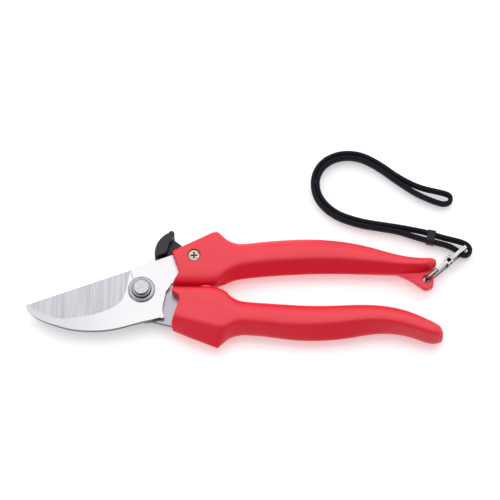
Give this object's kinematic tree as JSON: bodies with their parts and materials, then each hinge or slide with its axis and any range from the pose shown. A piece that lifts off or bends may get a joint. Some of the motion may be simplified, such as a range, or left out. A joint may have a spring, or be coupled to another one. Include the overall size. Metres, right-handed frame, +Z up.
{
  "type": "pruning shears",
  "caption": "Bypass pruning shears with moulded grips, thumb catch, pivot bolt and a braided wrist lanyard on a snap hook.",
  "frame": {"origin": "on the axis of the pivot bolt, in the plane of the table that the closed shears lie on", "axes": "+X from the pivot towards the grips, the blades point along -X; +Y towards the grip that carries the catch; +Z up along the pivot bolt, through its nut"},
  "size_m": [0.2049, 0.098, 0.0131],
  "materials": {
    "blade_steel": "polished flats with a cross-ground bevel",
    "pivot_steel": "satin",
    "spring_steel": "plain",
    "screw_nickel": "bright nickel",
    "insert_brass": "turned",
    "hook_nickel": "bright nickel",
    "red_nylon": "satin moulded",
    "black_nylon": "satin moulded",
    "black_braid": "flat woven braid",
    "keeper_plastic": "satin"
  },
  "bodies": {
    "cutting_half": {"cutting_blade": "blade_steel", "upper_handle": "red_nylon", "pivot_bolt": "pivot_steel", "pivot_washer": "pivot_steel", "pivot_nut": "pivot_steel", "catch_screw": "screw_nickel", "catch_insert": "insert_brass", "catch_bush": "pivot_steel", "catch_washer": "spring_steel"},
    "counter_half": {"counter_blade": "blade_steel", "lower_handle": "red_nylon", "stop_collar": "red_nylon", "glide_washer": "pivot_steel", "opening_spring": "spring_steel"},
    "catch": {"catch_lever": "black_nylon"},
    "snap_hook": {"snap_hook_body": "hook_nickel", "snap_hook_rivet": "hook_nickel", "lanyard_strap": "black_braid", "lanyard_keeper": "keeper_plastic"},
    "hook_gate": {"snap_hook_gate": "hook_nickel"}
  },
  "joints": [
    {"name": "blade_pivot", "type": "hinge", "parent": "cutting_half", "child": "counter_half", "pos_m": [0, 0, 0.0065], "axis": [0, 0, -1], "range_deg": [0, 34], "deforming": ["opening_spring"]},
    {"name": "catch_turn", "type": "hinge", "parent": "cutting_half", "child": "catch", "pos_m": [0.0239, 0.0154, 0.005], "axis": [0, 0, -1], "range_deg": [0, 28]},
    {"name": "hook_swing", "type": "hinge", "parent": "cutting_half", "child": "snap_hook", "pos_m": [0.1304, 0.0053, 0.0065], "axis": [0, 0, -1], "range_deg": [0, 60]},
    {"name": "gate_hinge", "type": "hinge", "parent": "snap_hook", "child": "hook_gate", "pos_m": [0.14146, 0.01526, 0.00707], "axis": [0.6691, -0.7431, 0], "range_deg": [0, 20], "stiffness_Nm_per_rad": 0.004, "springref_deg": -5.73}
  ]
}
